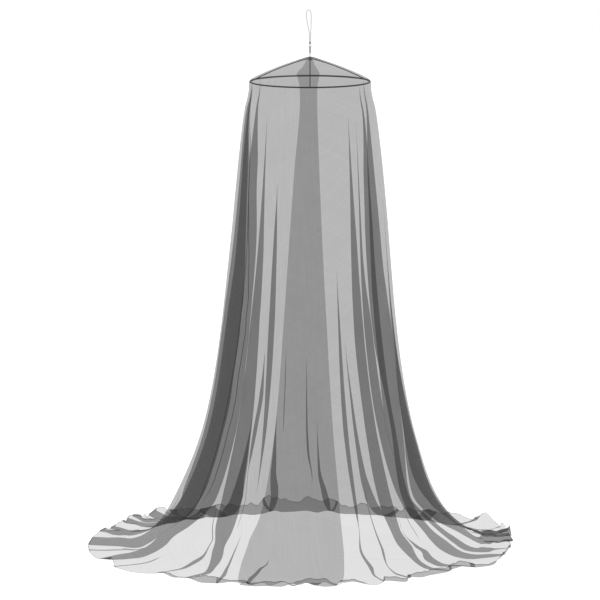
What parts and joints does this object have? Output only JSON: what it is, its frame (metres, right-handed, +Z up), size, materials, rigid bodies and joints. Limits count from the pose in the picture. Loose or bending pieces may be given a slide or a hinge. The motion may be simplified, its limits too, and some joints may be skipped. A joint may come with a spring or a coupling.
{
  "type": "mosquito net canopy with hoop frame",
  "caption": "Sheer net canopy spread by a round wire hoop and hung from a cord loop; its skirt lies in a wide ring on the floor.",
  "frame": {"origin": "top of the hanging cord loop, on the canopy's plumb axis", "axes": "+Z up along the canopy's plumb axis; -Y faces the front, where the net's two upright edges overlap; +X to the right of a viewer at the front"},
  "size_m": [2.0962, 2.1803, 2.6764],
  "materials": {
    "charcoal_net": "sheer fine net, matt",
    "grey_wire": "dark grey satin paint",
    "dark_metal": "near-black satin",
    "bright_metal": "bright plated steel",
    "pale_cord": "pale twisted cord"
  },
  "bodies": {
    "root": {"net": "charcoal_net", "hoop": "grey_wire", "spoke_front": "grey_wire", "spoke_back": "grey_wire", "spoke_left": "grey_wire", "spoke_right": "grey_wire", "hub": "grey_wire", "hub_eye": "bright_metal", "shank": "dark_metal", "crossbar": "bright_metal", "neck": "bright_metal", "crimp": "dark_metal", "hanging_loop": "pale_cord"}
  },
  "joints": []
}
